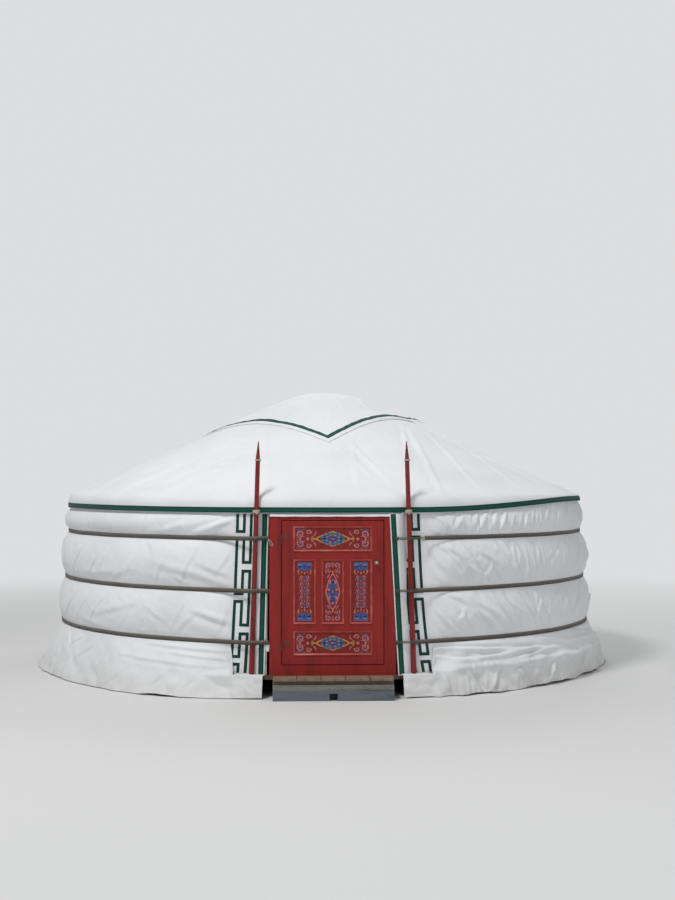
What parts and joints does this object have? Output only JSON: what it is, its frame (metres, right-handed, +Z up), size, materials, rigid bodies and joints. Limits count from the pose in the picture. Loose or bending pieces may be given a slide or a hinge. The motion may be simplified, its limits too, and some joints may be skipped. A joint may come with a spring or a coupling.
{
  "type": "yurt",
  "caption": "Round felt tent house with a white canvas cover, lattice wall, conical roof on poles, open crown under a square cover, belts and a hinged red door.",
  "frame": {"origin": "middle of the round floor, at ground level, on the underside of the middle floor bearer", "axes": "+Z up, -Y out through the door, +X to the right of a visitor who faces the door"},
  "size_m": [6.4136, 6.3464, 3.0304],
  "materials": {
    "canvas": "white cotton canvas over felt",
    "bare_timber": "planed softwood",
    "lattice_timber": "stained willow slats",
    "red_paint": "red gloss paint on softwood",
    "door_panel_paint": "painted panels with a traditional scroll ornament",
    "orange_paint": "orange paint on softwood",
    "pole_paint": "dark red paint on softwood",
    "green_trim": "green woven tape",
    "belt_webbing": "brown and grey hair webbing",
    "threshold_tile": "unglazed clay",
    "weathered_step": "grey weathered board",
    "grey_plinth": "weathered blue-grey timber",
    "hinge_steel": "black lacquered steel",
    "knob_metal": "satin steel",
    "pole_tie": "pale cord winding"
  },
  "bodies": {
    "yurt": {"floor_bearers": "bare_timber", "floor_deck": "bare_timber", "threshold_tiles": "threshold_tile", "step_spacer": "weathered_step", "step_board": "weathered_step", "step_plinth": "grey_plinth", "door_jambs": "red_paint", "door_stops": "red_paint", "door_lintel": "red_paint", "door_sill": "red_paint", "door_header": "bare_timber", "frame_hinges": "hinge_steel", "lattice_front_right": "lattice_timber", "lattice_back_right": "lattice_timber", "lattice_back_left": "lattice_timber", "lattice_front_left": "lattice_timber", "wall_front_right": "canvas", "wall_back_right": "canvas", "wall_back_left": "canvas", "wall_front_left": "canvas", "wall_over_door": "canvas", "skirt_front_right": "canvas", "skirt_back_right": "canvas", "skirt_back_left": "canvas", "skirt_front_left": "canvas", "skirt_beside_door": "canvas", "roof_front_right": "canvas", "roof_back_right": "canvas", "roof_back_left": "canvas", "roof_front_left": "canvas", "roof_poles_right": "orange_paint", "roof_poles_left": "orange_paint", "crown_ring": "orange_paint", "crown_ribs": "orange_paint", "crown_hub": "orange_paint", "crown_cover": "canvas", "crown_tape": "green_trim", "crown_posts": "orange_paint", "post_heads": "orange_paint", "wall_belts": "belt_webbing", "eave_band": "green_trim", "edge_tapes": "green_trim", "side_poles": "pole_paint", "pole_rings": "pole_tie"},
    "door": {"door_leaf": "red_paint", "door_panels": "door_panel_paint", "door_mouldings": "red_paint", "door_knob": "knob_metal", "door_hinges": "hinge_steel"}
  },
  "joints": [
    {"name": "door_hinge", "type": "hinge", "parent": "yurt", "child": "door", "pos_m": [-0.481, -2.88913, 1], "axis": [0, 0, -1], "range_deg": [0, 100]}
  ]
}
